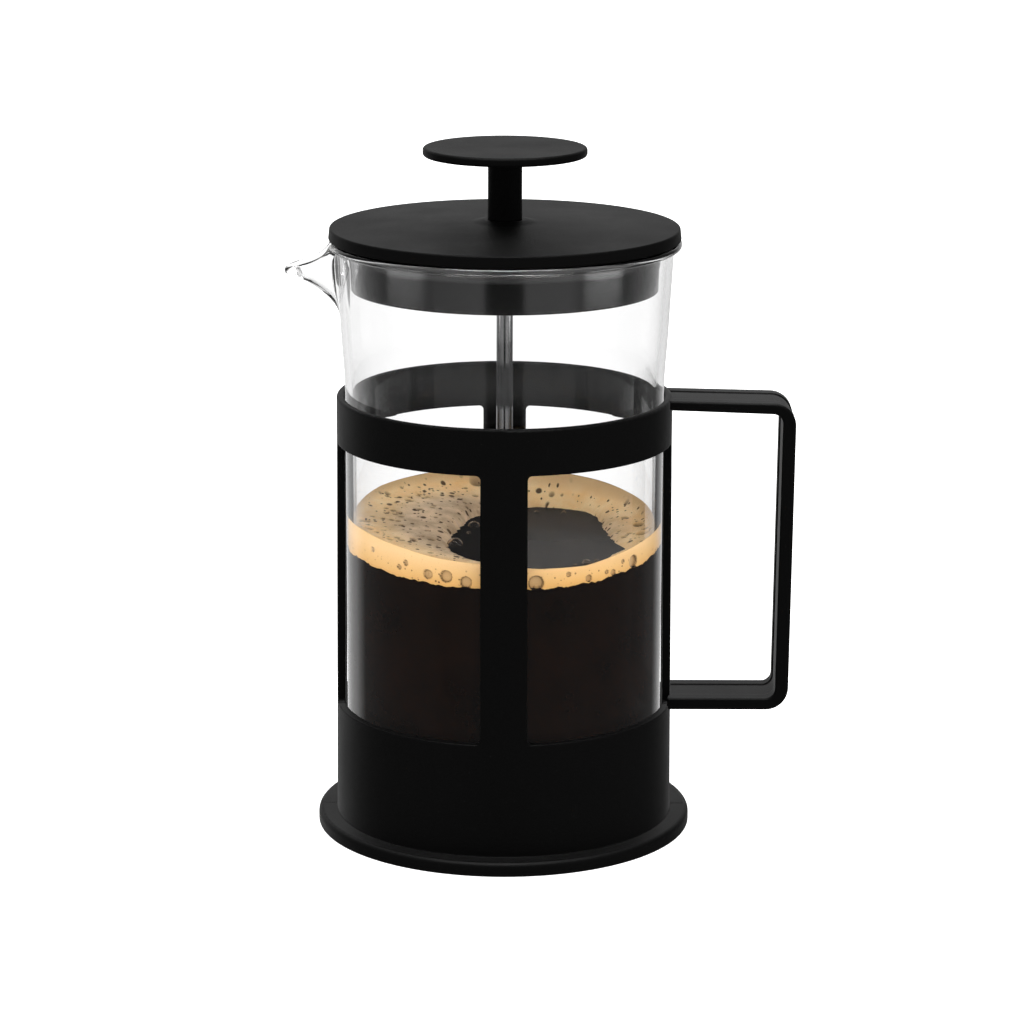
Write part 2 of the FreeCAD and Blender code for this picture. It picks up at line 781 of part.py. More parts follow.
def check_and_export():
    """Stops on any failed object, then writes one STEP file for each named sub-part."""
    doc.recompute()
    failed = [item.Name for item in doc.Objects if {"Invalid", "Error"} & set(item.State)]
    if failed:
        raise RuntimeError(f"these objects failed: {failed}")
    parts = {item.Name: item for item in doc.Objects if item.Name in NODES}
    for name in NODES:
        shape = parts[name].Shape
        if shape.isNull() or not shape.isValid() or not shape.Solids:
            raise RuntimeError(f"{name} is not a valid solid")
    os.makedirs("parts", exist_ok=True)
    for name in NODES:
        parts[name].Label = name
        parts[name].Shape.exportStep(f"parts/{name}.step")
        size = parts[name].Shape.BoundBox
        print(f"{name}: {len(parts[name].Shape.Solids)} solid, {parts[name].Shape.Volume:.0f} mm3,"
              f" z {size.ZMin:.2f} to {size.ZMax:.2f}")


fill_sheet()
for make in (
    make_holder_frame, make_handle, make_beaker, make_lid_cap, make_lid_collar, make_lid_bushing,
    make_knob, make_knob_insert, make_plunger_rod, make_rod_stop_collar, make_spiral_plate,
    make_rim_spring, make_mesh_screen, make_mesh_eyelet, make_cross_plate, make_cross_plate_nut,
):
    make()
check_and_export()
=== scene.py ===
"""Looks of the french press: materials, blown glass, coffee with crema, and the studio round them."""

import math

import bpy
import numpy as np
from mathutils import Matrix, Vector


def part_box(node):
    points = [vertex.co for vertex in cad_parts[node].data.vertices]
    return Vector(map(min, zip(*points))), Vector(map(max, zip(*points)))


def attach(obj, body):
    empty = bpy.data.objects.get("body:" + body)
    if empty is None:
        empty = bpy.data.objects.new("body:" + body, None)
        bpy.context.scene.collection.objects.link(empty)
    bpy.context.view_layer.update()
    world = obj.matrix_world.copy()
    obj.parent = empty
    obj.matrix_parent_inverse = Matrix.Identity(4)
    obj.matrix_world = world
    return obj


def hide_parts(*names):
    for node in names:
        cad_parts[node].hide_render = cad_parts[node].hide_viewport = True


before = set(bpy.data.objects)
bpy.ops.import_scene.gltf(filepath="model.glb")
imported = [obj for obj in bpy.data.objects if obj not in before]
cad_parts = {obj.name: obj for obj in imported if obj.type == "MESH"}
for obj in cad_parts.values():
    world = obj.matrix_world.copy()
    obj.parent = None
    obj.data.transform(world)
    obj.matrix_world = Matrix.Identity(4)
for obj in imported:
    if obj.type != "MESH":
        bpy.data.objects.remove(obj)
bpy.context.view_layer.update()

MM = 0.001


def box_in_mm(node, digits=1):
    """A CAD node's lowest and highest corners, rounded so that the noise of its mesh drops out."""
    return [[round(value / MM, digits) for value in corner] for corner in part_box(node)]


# Sizes and heights, in millimetres. The spout points to low x, so the rim's radius is the box's high x.
(_, _, GLASS_BASE), (RIM_RADIUS, _, RIM_TOP) = box_in_mm("beaker")
OUTER_RADIUS = 48.7
WALL = 2.0
INNER_RADIUS = OUTER_RADIUS - WALL
GLASS_FLOOR = GLASS_BASE + 2.6
HEEL_RADIUS = 8.7
HEEL_CENTRE = OUTER_RADIUS - HEEL_RADIUS
BEAD_RADIUS = 1.2
DOME_RISE = 2.2
SPOUT_BOTTOM = RIM_TOP - 24.0
SPOUT_LIP = RIM_TOP - 2.4
SPOUT_REACH = 13.2
SPOUT_DROP = 8.6
# How far the coffee and the crema reach into the glass, so that no film of air shows between them.
GLASS_LAP = 0.08
COFFEE_RADIUS = INNER_RADIUS + GLASS_LAP
COFFEE_TOP = GLASS_BASE + 83.0


# ---------------------------------------------------------------- mesh helpers

def new_object(name, points, faces, material, body):
    """A smooth piece from points in millimetres, riding on a CAD body."""
    mesh = bpy.data.meshes.new(name)
    mesh.from_pydata((np.asarray(points, float) * MM).tolist(), [], faces)
    mesh.update()
    mesh.shade_smooth()
    mesh.materials.append(material)
    piece = bpy.data.objects.new(name, mesh)
    bpy.context.scene.collection.objects.link(piece)
    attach(piece, body)
    return piece


def skin(rings, poles=(None, None), closed=False):
    """Points and faces of a skin through rings of points: capped by poles, or joined last ring to first."""
    rings = np.asarray(rings, float)
    count, around = rings.shape[:2]
    points = rings.reshape(-1, 3).tolist()
    faces = []
    for ring in range(count if closed else count - 1):
        low, high = ring * around, (ring + 1) % count * around
        for step in range(around):
            after = (step + 1) % around
            faces.append((low + step, low + after, high + after, high + step))
    for pole, start in zip(poles, (0, (count - 1) * around)):
        if pole is None:
            continue
        points.append(list(pole))
        tip = len(points) - 1
        for step in range(around):
            pair = (start + step, start + (step + 1) % around)
            faces.append((tip, *(pair[::-1] if start == 0 else pair)))
    return points, faces


def curve_through(corners, steps, periodic=False):
    """A Catmull-Rom curve through the corners, with that many steps between each two."""
    corners = np.asarray(corners, float)
    if periodic:
        padded = np.vstack([corners[-1], corners, corners[:2]])
    else:
        padded = np.vstack([2 * corners[0] - corners[1], corners, 2 * corners[-1] - corners[-2]])
    parts = np.arange(steps)[:, None] / steps
    pieces = []
    for before, start, end, after in zip(padded, padded[1:], padded[2:], padded[3:]):
        pieces.append(0.5 * (2 * start + (end - before) * parts
                             + (2 * before - 5 * start + 4 * end - after) * parts ** 2
                             + (3 * start - before - 3 * end + after) * parts ** 3))
    if not periodic:
        pieces.append(corners[-1:])
    return np.vstack(pieces)


def arc(across, up, radius, start, end, steps):
    """Points of an arc in the plane of a profile, between two angles in degrees."""
    angles = np.radians(np.linspace(start, end, steps))
    return np.column_stack([across + radius * np.cos(angles), up + radius * np.sin(angles)])


def turned(profile, angles):
    """Rings of points from (radius, height) pairs."""
    return np.array([[(r * math.cos(a), r * math.sin(a), z) for a in angles] for r, z in profile])


def even_angles(count):
    """That many angles, in radians, evenly round a circle."""
    return np.arange(count) * 2 * math.pi / count


# ---------------------------------------------------------------- materials

class Nodes:
    """A node tree, with short ways to add nodes to it."""

    def __init__(self, tree):
        self.tree = tree

    def add(self, kind, inputs=(), **settings):
        node = self.tree.nodes.new(f"ShaderNode{kind}")
        for name, value in settings.items():
            setattr(node, name, value)
        for name, value in dict(inputs).items():
            if isinstance(value, bpy.types.NodeSocket):
                self.tree.links.new(value, node.inputs[name])
            else:
                node.inputs[name].default_value = value
        return node

    def math(self, operation, first, second=0.0):
        return self.add("Math", {0: first, 1: second}, operation=operation).outputs[0]

    def spread(self, value, low, high, to_low=0.0, to_high=1.0):
        """The value mapped from one range to another and clamped."""
        return self.add("MapRange", {
            "Value": value, "From Min": low, "From Max": high, "To Min": to_low, "To Max": to_high,
        }).outputs["Result"]


class Surface(Nodes):
    """A Principled material."""

    def __init__(self, name, colour, roughness, metallic=0.0, **sockets):
        self.material = bpy.data.materials.new(name)
        self.material.use_nodes = True
        super().__init__(self.material.node_tree)
        self.shader = self.tree.nodes["Principled BSDF"]
        self.shader.inputs["Base Color"].default_value = (*colour, 1.0)
        self.shader.inputs["Roughness"].default_value = roughness
        self.shader.inputs["Metallic"].default_value = metallic
        for words, value in sockets.items():
            self.shader.inputs[words.replace("_", " ")].default_value = value

    def set(self, name, output):
        self.tree.links.new(output, self.shader.inputs[name])

    def place(self, stretch=(1.0, 1.0, 1.0)):
        """Object coordinates in millimetres, stretched along each axis."""
        coordinates = self.add("TexCoord").outputs["Object"]
        scale = [part / MM for part in stretch]
        return self.add("Mapping", {"Vector": coordinates, "Scale": scale}).outputs["Vector"]

    def noise(self, where, scale, detail=2.0, roughness=0.5):
        inputs = {"Vector": where, "Scale": scale, "Detail": detail, "Roughness": roughness}
        return self.add("TexNoise", inputs).outputs["Fac"]

    def cells(self, where, scale):
        """Voronoi cells, as a node: its distance is the way to the nearest middle, its colour is random."""
        return self.add("TexVoronoi", {"Vector": where, "Scale": scale}, feature="F1")

    def spots(self, where, scale, share, size):
        """Round spots of mixed sizes, one at the middle of a share of the cells: 1 inside, 0 outside."""
        cells = self.cells(where, scale)
        chance = self.add("SeparateXYZ", {0: cells.outputs["Color"]}).outputs[0]
        radius = self.spread(chance, 1.0 - share, 1.0, 0.001, size * scale)
        return self.spread(self.math("DIVIDE", cells.outputs["Distance"], radius), 0.72, 1.0, 1.0, 0.0)

    def mix(self, factor, first, second):
        """A mix of two colours, each a socket or (r, g, b)."""
        node = self.add("Mix", {"Factor": factor}, data_type="RGBA")
        for socket, source in ((node.inputs[6], first), (node.inputs[7], second)):
            if isinstance(source, tuple):
                socket.default_value = (*source, 1.0)
            else:
                self.tree.links.new(source, socket)
        return node.outputs[2]

    def bump(self, height, depth, strength=1.0, soft_edge=0.0):
        """Raises the surface by up to depth mm where height is one, over edges rounded by soft_edge mm."""
        inputs = {"Height": height, "Distance": depth * MM, "Strength": strength}
        if soft_edge:
            inputs["Normal"] = self.add("Bevel", {"Radius": soft_edge * MM}, samples=6).outputs["Normal"]
        self.set("Normal", self.add("Bump", inputs).outputs["Normal"])


def moulded_plastic(name, colour, roughness, grain_depth, specular, soft_edge=0.0, coat=0.0, ior=1.5):
    """An eroded mould grain, a slow drift of gloss, faint paler scuffs, and edges rounded by soft_edge mm."""
    surface = Surface(name, colour, roughness, Specular_IOR_Level=specular, Coat_Weight=coat, IOR=ior)
    where = surface.place()
    scuffs = surface.noise(surface.place((1.0, 1.0, 0.25)), scale=0.9, detail=4.0, roughness=0.7)
    pale = tuple(part * 1.9 + 0.001 for part in colour)
    surface.set("Base Color", surface.mix(surface.spread(scuffs, 0.62, 0.8, 0.0, 0.5), colour, pale))
    drift = surface.noise(where, scale=0.05, detail=3.0)
    surface.set("Roughness", surface.spread(drift, 0.3, 0.7, roughness - 0.02, roughness + 0.03))
    pebbles = surface.cells(where, scale=2.2).outputs["Distance"]
    grain = surface.math("ADD", pebbles, surface.noise(where, scale=4.0))
    surface.bump(grain, grain_depth, 0.6, soft_edge)
    return surface.material


def worked_metal(name, dark, light, roughness, stretch, line_depth):
    """Fine lines along one direction, and slow stains."""
    surface = Surface(name, light, roughness, metallic=1.0)
    lines = surface.noise(surface.place(stretch), scale=1.5, detail=4.0, roughness=0.65)
    stains = surface.noise(surface.place(), scale=0.08, detail=3.0)
    surface.set("Base Color", surface.mix(surface.spread(stains, 0.3, 0.7), dark, light))
    surface.set("Roughness", surface.spread(lines, 0.3, 0.7, roughness * 0.7, roughness * 1.5))
    surface.bump(lines, line_depth, 0.35)
    return surface.material


def woven_screen():
    """Plain weave of fine wires, with painted shade in the gaps between the crossing round wires."""
    # The gap colour is painted shade in the openings between the wires.
    gap, wire = (0.05, 0.05, 0.05), (0.62, 0.62, 0.6)
    surface = Surface("screen_weave", (0.6, 0.6, 0.6), 0.35, metallic=1.0)
    heights = []
    for axis, direction in (((1.0, 0.0, 1.0), "X"), ((0.0, 1.0, 1.0), "Y")):
        inputs = {"Vector": surface.place(axis), "Scale": 1.1}
        heights.append(surface.add("TexWave", inputs, bands_direction=direction).outputs["Fac"])
    weave = surface.math("MAXIMUM", *heights)
    surface.set("Base Color", surface.mix(surface.spread(weave, 0.35, 0.7), gap, wire))
    stains = surface.noise(surface.place(), scale=0.15, detail=3.0)
    surface.set("Roughness", surface.spread(stains, 0.3, 0.7, 0.25, 0.5))
    surface.bump(weave, 0.1, 0.8)
    return surface.material


def clear_glass():
    """Blown borosilicate: barely wavy."""
    surface = Surface("beaker_glass_clear", (1.0, 1.0, 1.0), 0.0, IOR=1.47, Transmission_Weight=1.0)
    waves = surface.noise(surface.place((1.0, 1.0, 0.35)), scale=0.03, detail=1.0)
    surface.bump(waves, 0.35, 0.25)
    return surface.material


def coffee_liquid():
    """Near-black brown liquid, dark and dull on top near the spout, with a greyish painted sheen on the far
    side.
    """
    # The last colour is the greyish of the painted sheen on the top's far side.
    deep, thin, painted_sheen_grey = (0.002, 0.0007, 0.0003), (0.005, 0.0016, 0.0007), (0.043, 0.038, 0.034)
    wall_roughness, dull_roughness, sheen_side_roughness = 0.02, 0.75, 0.25
    surface = Surface("coffee_dark", (0.004, 0.0015, 0.0008), 0.06, IOR=1.12)
    where = surface.place()
    cloud = surface.noise(where, scale=0.06, detail=4.0, roughness=0.6)
    liquid = surface.mix(surface.spread(cloud, 0.35, 0.75), deep, thin)
    across, _, up = surface.add("SeparateXYZ", {0: where}).outputs
    wander = surface.math("MULTIPLY", surface.noise(where, scale=0.08), 6.0)
    swirl = surface.math("ADD", across, wander)
    top_roughness = surface.spread(swirl, 0.0, 4.0, dull_roughness, sheen_side_roughness)
    on_top = surface.spread(up, COFFEE_TOP - 0.2, COFFEE_TOP - 0.1)
    surface.set("Roughness", surface.spread(on_top, 0.0, 1.0, wall_roughness, top_roughness))
    # The film is painted sheen: greyish colour over the top, growing towards the far side, standing in for a
    # reflection.
    film = surface.math("MULTIPLY", on_top, surface.spread(swirl, 0.0, 4.0))
    surface.set("Base Color", surface.mix(film, liquid, painted_sheen_grey))
    surface.bump(surface.noise(where, scale=0.05), 0.2, 0.1)
    return surface.material


# The crema's colours, each from its darker to its paler blotches (the band's from low to high).
CREMA_WET = ((0.42, 0.29, 0.17), (0.78, 0.57, 0.36))
CREMA_RIM = ((0.95, 0.6, 0.26), (1.0, 0.74, 0.4))
CREMA_BAND = ((0.60, 0.335, 0.1), (0.74, 0.49, 0.24))
# Pits and bubbles: dark brown, partly the coffee beneath and partly painted shade in the hollows.
CREMA_PIT_SHADE = (0.075, 0.036, 0.015)


def crema_foam():
    """Tan foam: dark brown in its pits, partly the coffee showing through and partly painted shade; painted
    shade inside the bubbles against the glass, darkest as a rim round their edges; greyer where it lies wet
    and thin, golden along the glass.
    """
    surface = Surface("crema_tan", (0.58, 0.42, 0.25), 0.55, IOR=1.25)
    where = surface.place()
    flat = surface.place((1.0, 1.0, 0.0))
    x, y, z = surface.add("SeparateXYZ", {0: where}).outputs
    squares = surface.math("ADD", surface.math("MULTIPLY", x, x), surface.math("MULTIPLY", y, y))
    distance = surface.math("SQRT", squares)

    blotches = surface.spread(surface.noise(where, scale=0.12, detail=4.0, roughness=0.6), 0.35, 0.68)
    wet = surface.mix(blotches, *CREMA_WET)
    rim = surface.mix(blotches, *CREMA_RIM)
    band = surface.mix(surface.spread(z, 87.0, 95.0), *CREMA_BAND)
    body = surface.mix(surface.spread(distance, 31.0, 41.0), wet, rim)
    by_the_glass = surface.spread(distance, INNER_RADIUS - 2.5, INNER_RADIUS - 0.3)
    body = surface.mix(by_the_glass, body, band)

    inside = surface.spread(distance, INNER_RADIUS - 1.2, INNER_RADIUS - 0.6, 1.0, 0.0)
    coarse = surface.spots(flat, scale=0.36, share=0.6, size=1.25)
    fine = surface.spots(flat, scale=0.75, share=0.45, size=0.55)
    open_pits = surface.math("MAXIMUM", coarse, fine)
    open_pits = surface.math("MULTIPLY", open_pits, surface.spread(inside, 0.0, 1.0, 0.0, 0.95))
    low_down = surface.spread(z, 89.5, 93.0, 1.0, 0.15)
    pinholes = surface.math("MULTIPLY", surface.spots(where, scale=1.0, share=0.4, size=0.4), low_down)
    pinholes = surface.math("MULTIPLY", pinholes, surface.spread(inside, 0.0, 1.0, 0.8, 0.0))
    dents = surface.math("MAXIMUM", open_pits, pinholes)
    # Pits, pinholes and bubbles darken towards the pit colour: partly the coffee showing through, partly
    # painted shade in the hollows.
    bubbles = surface.add("Attribute", attribute_name="hollow_shade").outputs["Fac"]
    depth = surface.math("MAXIMUM", surface.spread(bubbles, 0.1, 0.9, 0.0, 0.9), dents)
    surface.set("Base Color", surface.mix(depth, body, CREMA_PIT_SHADE))
    surface.set("Roughness", surface.spread(depth, 0.0, 1.0, 0.5, 0.7))

    froth = surface.math("MULTIPLY", surface.cells(where, scale=1.6).outputs["Distance"], 0.25)
    surface.bump(surface.math("SUBTRACT", froth, dents), 0.4, 0.6)
    return surface.material


def bubble_film():
    """The clear film of a floating bubble, faintly brown."""
    surface = Surface("bubble_film", (0.9, 0.8, 0.7), 0.03, IOR=1.33, Transmission_Weight=1.0)
    surface.bump(surface.noise(surface.place(), scale=0.8), 0.05, 0.2)
    return surface.material


def give(material, *names):
    """Puts the material on carried-over CAD nodes."""
    for name in names:
        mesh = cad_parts[name].data
        mesh.materials.clear()
        mesh.materials.append(material)


# ---------------------------------------------------------------- beaker

def spout_angles():
    """Angles round the beaker, closer together at the spout."""
    coarse_step, fine_step, gap = 1.5, 0.4, 0.01
    coarse = np.radians(np.arange(0.0, 360.0, coarse_step))
    fine = np.radians(np.arange(158.0, 202.0, fine_step))
    coarse = coarse[(coarse < fine[0] - gap) | (coarse > fine[-1] + gap)]
    return np.sort(np.concatenate([coarse, fine]))


def pull_spout(radius, height, angle):
    """Where a point of the turned wall goes when the spout is pulled out and down."""
    rise = min(max((height - SPOUT_BOTTOM) / (SPOUT_LIP - SPOUT_BOTTOM), 0.0), 1.0)
    turn = abs(math.degrees(angle) - 180.0)
    pull_width, pull_fade = 3.6 + 1.5 * rise, 1.3 - 0.5 * rise
    dip_width, dip_fade = 6.3, 1.1
    pull = 1.0 / (1.0 + math.exp((turn - pull_width) / pull_fade))
    dip = 1.0 / (1.0 + math.exp((turn - dip_width) / dip_fade))
    radius += SPOUT_REACH * rise ** 1.6 * pull
    height -= SPOUT_DROP * rise ** 1.3 * dip
    return radius * math.cos(angle), radius * math.sin(angle), height


def domed_floor(level):
    """The pushed-up floor's profile, from near the axis out to the flat ring at that level."""
    return np.vstack([
        [(4.0, level + DOME_RISE), (8.0, level + DOME_RISE)],
        curve_through([(12.0, level + 1.8), (20.0, level + 1.1), (31.0, level)], 4),
        [(35.0, level)],
    ])


def make_beaker():
    """One skin, turned up the outside and down the inside, with the spout pulled out of it."""
    # How far out from the straight wall, and how far below the rim.
    flare = np.array([(0.0, -48.0), (0.35, -40.0), (1.1, -30.0), (1.8, -18.0), (2.7, -3.0)])
    flare += (OUTER_RADIUS, RIM_TOP)
    straight = np.linspace(GLASS_BASE + 14.0, flare[0, 1] - 6.0, 16)
    outside = np.vstack([
        domed_floor(GLASS_BASE),
        arc(HEEL_CENTRE, GLASS_BASE + HEEL_RADIUS, HEEL_RADIUS, -90.0, 0.0, 14),
        np.column_stack([np.full(16, OUTER_RADIUS), straight]),
        curve_through(flare, 7), [(OUTER_RADIUS + 2.9, RIM_TOP - 2.6)],
        arc(RIM_RADIUS - BEAD_RADIUS, RIM_TOP - BEAD_RADIUS, BEAD_RADIUS, -70.0, 90.0, 10),
    ])
    inner_heel = HEEL_RADIUS - WALL
    inside = np.vstack([
        arc(RIM_RADIUS - 3.0, RIM_TOP - 0.5, 0.5, 90.0, 180.0, 4),
        curve_through(flare - (WALL, 0.0), 7)[::-1],
        np.column_stack([np.full(16, INNER_RADIUS), straight[::-1]]),
        arc(HEEL_CENTRE, GLASS_FLOOR + inner_heel, inner_heel, 0.0, -90.0, 12),
        domed_floor(GLASS_FLOOR)[::-1],
    ])
    angles = spout_angles()
    rings = [[pull_spout(r, z, a) for a in angles] for r, z in np.vstack([outside, inside])]
    poles = [(0.0, 0.0, level + DOME_RISE) for level in (GLASS_BASE, GLASS_FLOOR)]
    points, faces = skin(rings, poles)
    glass = new_object("glass_beaker", points, faces, clear_glass(), "beaker")
    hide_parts("beaker")


# ---------------------------------------------------------------- coffee and crema

# Where the crema's top and bottom meet the glass: (degrees round the axis, top, bottom).
TOP_LINE, BOTTOM_LINE = 1, 2
CREMA_LINE = (
    (-180.0, 99.0, 89.3), (-153.0, 98.4, 88.4), (-131.0, 96.8, 87.6), (-114.0, 95.1, 86.9),
    (-96.0, 94.2, 86.5), (-77.0, 92.6, 86.4), (-59.0, 92.3, 86.8), (-47.0, 93.6, 87.4),
    (-29.0, 95.4, 88.6), (-12.0, 96.6, 89.8), (13.0, 98.2, 90.3), (32.0, 99.2, 90.2),
    (49.0, 100.4, 90.0), (68.0, 101.2, 89.8), (97.0, 101.9, 89.6), (121.0, 101.7, 89.6),
    (148.0, 101.0, 89.6), (165.0, 99.8, 89.5),
)
# The hole in the crema through which the coffee shows, and a point inside it.
CREMA_HOLE = (
    (9.0, 37.0), (18.0, 36.0), (24.5, 32.5), (28.5, 27.0), (30.2, 18.0), (31.6, 5.0), (33.7, -7.6),
    (36.0, -15.0), (32.8, -21.0), (28.9, -29.0), (24.3, -34.5), (16.7, -38.6), (9.0, -39.5),
    (1.0, -37.0), (-5.4, -32.0), (-10.3, -28.5), (-14.9, -21.0), (-16.9, -13.0), (-16.1, -2.0),
    (-13.2, 12.0), (-10.3, 22.0), (-5.9, 28.0), (1.0, 33.5),
)
HOLE_CENTRE = np.array([8.0, -2.0])
# Large bubbles pressed against the glass: (degrees round the axis, height, radius).
GLASS_BUBBLES = (
    (-118.6, 89.7, 1.5), (-111.3, 89.7, 1.9), (-103.8, 88.4, 1.8), (-131.3, 90.4, 0.8), (-128.1, 92.1, 0.9),
    (-90.5, 88.2, 1.3), (-78.3, 88.3, 2.3), (-57.7, 88.2, 1.1), (-49.6, 89.1, 0.7), (-46.4, 88.5, 1.0),
    (-35.2, 90.2, 2.0), (-41.4, 91.2, 0.7), (-146.0, 93.5, 0.8), (-66.0, 90.2, 0.8), (152.0, 94.0, 1.6),
    (118.0, 93.0, 2.1), (96.0, 95.5, 1.4), (61.0, 92.6, 1.9), (38.0, 95.0, 1.5), (14.0, 93.0, 1.8),
)
# Large collapsed bubbles in the crema's surface: (x, y, radius).
SURFACE_BUBBLES = (
    (-9.0, 44.0, 2.6), (42.0, 3.5, 1.9), (42.6, -5.4, 2.2), (-43.0, -3.5, 1.9), (-41.0, -11.5, 1.8),
    (38.0, 12.0, 1.2), (-30.0, 20.0, 1.5), (-22.0, -14.0, 1.3),
)
# Clear bubbles floating in the hole: (x, y, radius).
FLOATING_BUBBLES = (
    (-15.0, -11.0, 2.6), (-9.5, 12.0, 2.0), (-11.0, 3.0, 0.9), (10.2, 30.5, 0.8), (19.0, 29.5, 0.9),
    (24.5, -33.0, 1.5), (27.5, -30.5, 0.9), (21.0, -35.6, 0.8),
)
# Points round the crema, swells and pits scattered over it, and the ragged steps of its lower line as
# (how many round the glass, their usual height).
CREMA_AROUND = 900
SWELLS = 120
PITS = 260
RAGGED_STEPS = ((90, 0.18), (230, 0.16), (450, 0.1))


def crema_line(angles, column):
    """The heights of the crema's top or bottom line at angles round the glass, in radians."""
    table = np.array(CREMA_LINE)
    return np.interp(np.degrees(angles), table[:, 0], table[:, column], period=360.0)


def make_coffee(material):
    """The liquid: it fills the beaker up to the crema's lower line and shows through the crema's hole."""
    angles = even_angles(360)
    inner_heel = HEEL_RADIUS - WALL
    dome = np.array([(6.0, 2.1), (12.0, 1.7), (20.0, 1.0), (31.0, -0.05)]) + (0.0, GLASS_FLOOR)
    below = turned(np.vstack([
        dome,
        arc(HEEL_CENTRE, GLASS_FLOOR + inner_heel, inner_heel + GLASS_LAP, -90.0, 0.0, 12),
        [(COFFEE_RADIUS, 40.0), (COFFEE_RADIUS, 80.0)],
    ]), angles)
    shy_radius = COFFEE_RADIUS - 0.03
    under_crema = turned([(shy_radius, 0.0), (shy_radius, 0.3), (44.0, 0.35)], angles)
    under_crema[:, :, 2] += crema_line(angles, BOTTOM_LINE)
    top = turned(np.column_stack([np.linspace(43.2, 3.0, 14), np.full(14, COFFEE_TOP)]), angles)
    rings = np.concatenate([below, under_crema, top])
    points, faces = skin(rings, ((0.0, 0.0, GLASS_FLOOR + 2.1), (0.0, 0.0, COFFEE_TOP)))
    new_object("coffee", points, faces, material, "beaker")


def crema_spokes():
    """Unit directions from the hole's centre, and how far the hole's edge and the glass are along them."""
    outline = curve_through(CREMA_HOLE, 20, periodic=True) - HOLE_CENTRE
    outline_angles = np.arctan2(outline[:, 1], outline[:, 0])
    edge = sorted(zip(outline_angles, np.hypot(*outline.T)))
    angles = even_angles(CREMA_AROUND)
    near = np.interp(angles, *zip(*edge), period=2 * math.pi)
    unit = np.column_stack([np.cos(angles), np.sin(angles)])
    along = unit @ HOLE_CENTRE
    far = -along + np.sqrt(along ** 2 - HOLE_CENTRE @ HOLE_CENTRE + COFFEE_RADIUS ** 2)
    return unit, near, far


def crema_top(unit, near, far, rng):
    """The foam's open surface from the hole to the glass, and how deep in a bubble or pit each point is,
    which the foam's colour darkens as painted shade.
    """
    fractions = np.concatenate([
        np.linspace(0.0, 0.1, 8), np.linspace(0.12, 0.97, 74), [0.98, 0.988, 0.994, 1.0]])[:, None]
    turn = even_angles(CREMA_AROUND)
    ragged = 0.35 * np.sin(23 * turn + 2 * np.sin(7 * turn))
    ragged += 0.2 * np.sin(61 * turn + 3 * np.sin(11 * turn))
    reach = near + (far - near) * fractions + ragged * (1.0 - fractions) ** 12
    x = HOLE_CENTRE[0] + unit[:, 0] * reach
    y = HOLE_CENTRE[1] + unit[:, 1] * reach
    line = crema_line(np.arctan2(y, x), TOP_LINE)
    from_hole = (far - near) * fractions
    from_glass = (far - near) * (1.0 - fractions)
    edge_width, slope_width, climb_width = 1.6, 34.0, 1.5
    rise = 1.0 - np.exp(-from_hole / edge_width)
    slope = np.minimum(from_hole / slope_width, 1.0)
    climb = np.exp(-from_glass / climb_width)
    sunk, climb_height = 0.4, 1.2
    full_height = line - climb_height - COFFEE_TOP
    z = COFFEE_TOP - sunk + full_height * (0.35 * rise + 0.65 * slope) + sunk * rise
    z += (line - z) * climb

    open_foam = rise * (1.0 - climb)
    for _ in range(SWELLS):
        spot, size, lift = rng.uniform(-46, 46, 2), rng.uniform(3.0, 7.0), rng.uniform(-0.25, 0.3)
        z += lift * np.exp(-((x - spot[0]) ** 2 + (y - spot[1]) ** 2) / size ** 2) * open_foam
    # Each pit and collapsed bubble sinks the surface, and its depth is kept to be painted as shade.
    hollow_shade = np.zeros_like(z)
    pits = [(*rng.uniform(-45, 45, 2), rng.uniform(0.5, 1.2)) for _ in range(PITS)]
    for spot_x, spot_y, size in pits + list(SURFACE_BUBBLES):
        away = np.hypot(x - spot_x, y - spot_y) / size
        bowl = np.sqrt(np.clip(1.0 - away ** 2, 0.0, 1.0))
        z -= 0.8 * bowl * size * open_foam
        hollow_shade = np.maximum(hollow_shade, bowl * open_foam)
    return np.dstack([x, y, z]), hollow_shade


def crema_wall(edge, rng):
    """The foam against the glass, from the surface's edge down to the ragged lower line, with its bubbles,
    and how much painted shade each point gets: some inside each bubble and most along its rim.
    """
    angles = np.arctan2(edge[:, 1], edge[:, 0])
    bottom = crema_line(angles, BOTTOM_LINE)
    steps = np.arange(CREMA_AROUND)
    for count, height in RAGGED_STEPS:
        places = np.arange(count) * CREMA_AROUND / count
        bottom += np.interp(steps, places, rng.normal(0.0, height, count), period=CREMA_AROUND)
    down = np.linspace(0.0, 1.0, 34)[1:, None]
    z = edge[:, 2] + (bottom - edge[:, 2]) * down
    radius = np.full_like(z, COFFEE_RADIUS)
    hollow_shade = np.zeros_like(z)
    for degrees, height, size in GLASS_BUBBLES:
        turn = (angles - math.radians(degrees) + math.pi) % (2 * math.pi) - math.pi
        away = np.hypot(turn * INNER_RADIUS, z - height) / size
        bowl = np.sqrt(np.clip(1.0 - away ** 2, 0.0, 1.0)) * (down < 0.97)
        radius -= np.maximum(bowl * size * 0.7 - (COFFEE_RADIUS - radius), 0.0)
        # Painted shade: a dark ring along each bubble's edge, over an even darkening of its inside.
        outline = np.exp(-((away - 0.93) / 0.1) ** 2)
        hollow_shade = np.maximum(hollow_shade, 0.48 * (away < 1.0) + 0.5 * outline)
    return np.dstack([radius * np.cos(angles), radius * np.sin(angles), z]), hollow_shade


